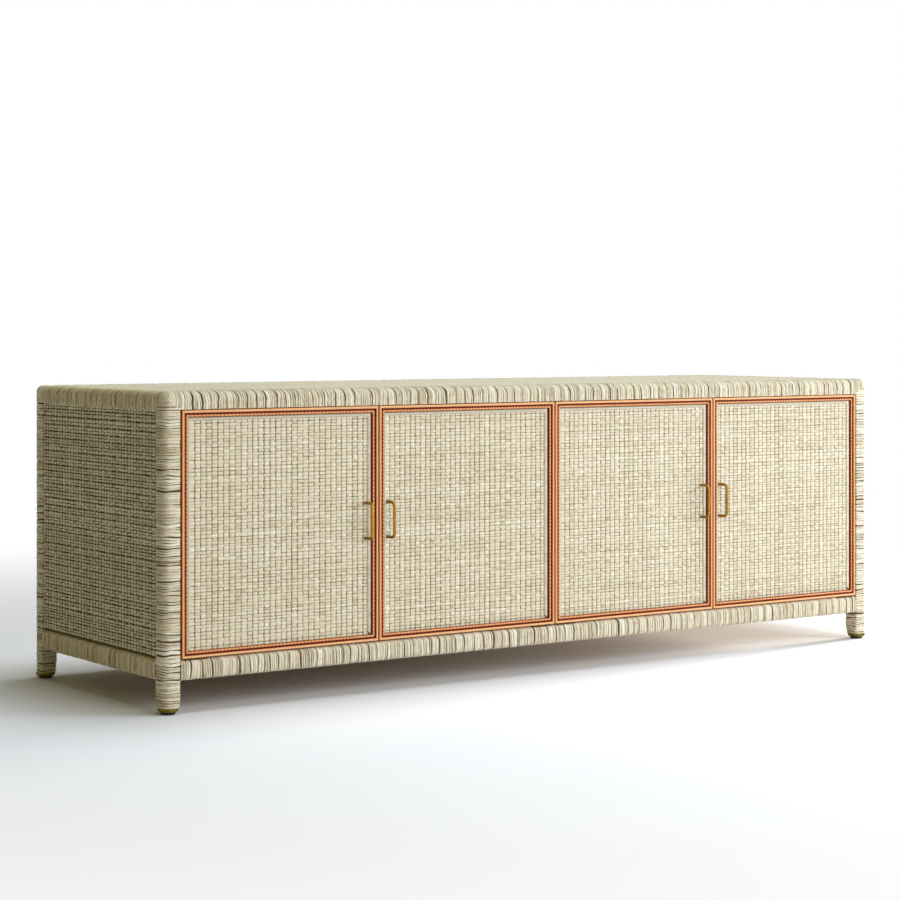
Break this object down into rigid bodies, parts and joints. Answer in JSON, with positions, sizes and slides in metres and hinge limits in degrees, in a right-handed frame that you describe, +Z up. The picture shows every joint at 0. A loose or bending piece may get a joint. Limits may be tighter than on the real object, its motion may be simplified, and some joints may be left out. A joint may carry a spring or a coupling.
{
  "type": "credenza",
  "caption": "Low credenza with a rattan-wrapped frame, woven top, sides and hinged doors in stained trim, bent brass pulls, a partition and loose shelves inside.",
  "frame": {"origin": "on the floor under the middle of the whole part, pulls included", "axes": "+X along the front to the right, +Y from front to back, +Z up"},
  "size_m": [1.829, 0.5904, 0.602],
  "materials": {
    "wrapped_rattan": "matte natural rattan peel",
    "woven_rattan": "matte natural woven rattan",
    "stained_cane": "satin orange-brown stain",
    "plywood": "matte lacquered veneer",
    "brass": "satin",
    "steel": "zinc plated",
    "black_plastic": "matte",
    "catch_plastic": "matte beige"
  },
  "bodies": {
    "root": {"post_front_left": "wrapped_rattan", "post_front_right": "wrapped_rattan", "post_back_left": "wrapped_rattan", "post_back_right": "wrapped_rattan", "top_rail_front": "wrapped_rattan", "top_rail_back": "wrapped_rattan", "top_rail_left": "wrapped_rattan", "top_rail_right": "wrapped_rattan", "bottom_rail_front": "wrapped_rattan", "bottom_rail_back": "wrapped_rattan", "bottom_rail_left": "wrapped_rattan", "bottom_rail_right": "wrapped_rattan", "foot_ferrules": "brass", "foot_glides": "black_plastic", "top_board": "plywood", "top_weave": "woven_rattan", "deck": "plywood", "side_board_left": "plywood", "side_board_right": "plywood", "side_weave_left": "woven_rattan", "side_weave_right": "woven_rattan", "back_board": "plywood", "back_screws": "steel", "centre_partition": "plywood", "shelf_left": "plywood", "shelf_right": "plywood", "shelf_pins": "steel", "hinge_rail_leaves": "brass", "hinge_rail_screws": "steel", "hinge_pins": "steel", "hinge_washers": "brass", "magnet_catches": "catch_plastic"},
    "door_1": {"door_1_board": "plywood", "door_1_weave": "woven_rattan", "door_1_trim": "stained_cane", "door_1_pull": "brass", "door_1_screws": "steel", "door_1_hinge_leaves": "brass", "door_1_strike": "steel"},
    "door_2": {"door_2_board": "plywood", "door_2_weave": "woven_rattan", "door_2_trim": "stained_cane", "door_2_pull": "brass", "door_2_screws": "steel", "door_2_hinge_leaves": "brass", "door_2_strike": "steel"},
    "door_3": {"door_3_board": "plywood", "door_3_weave": "woven_rattan", "door_3_trim": "stained_cane", "door_3_pull": "brass", "door_3_screws": "steel", "door_3_hinge_leaves": "brass", "door_3_strike": "steel"},
    "door_4": {"door_4_board": "plywood", "door_4_weave": "woven_rattan", "door_4_trim": "stained_cane", "door_4_pull": "brass", "door_4_screws": "steel", "door_4_hinge_leaves": "brass", "door_4_strike": "steel"}
  },
  "joints": [
    {"name": "door_1_hinge", "type": "hinge", "parent": "root", "child": "door_1", "pos_m": [-0.8665, -0.27085, 0.3335], "axis": [0, 0, -1], "range_deg": [0, 105]},
    {"name": "door_2_hinge", "type": "hinge", "parent": "root", "child": "door_2", "pos_m": [-0.01025, -0.27085, 0.3335], "axis": [0, 0, 1], "range_deg": [0, 85]},
    {"name": "door_3_hinge", "type": "hinge", "parent": "root", "child": "door_3", "pos_m": [0.01025, -0.27085, 0.3335], "axis": [0, 0, -1], "range_deg": [0, 85]},
    {"name": "door_4_hinge", "type": "hinge", "parent": "root", "child": "door_4", "pos_m": [0.8665, -0.27085, 0.3335], "axis": [0, 0, 1], "range_deg": [0, 105]}
  ]
}
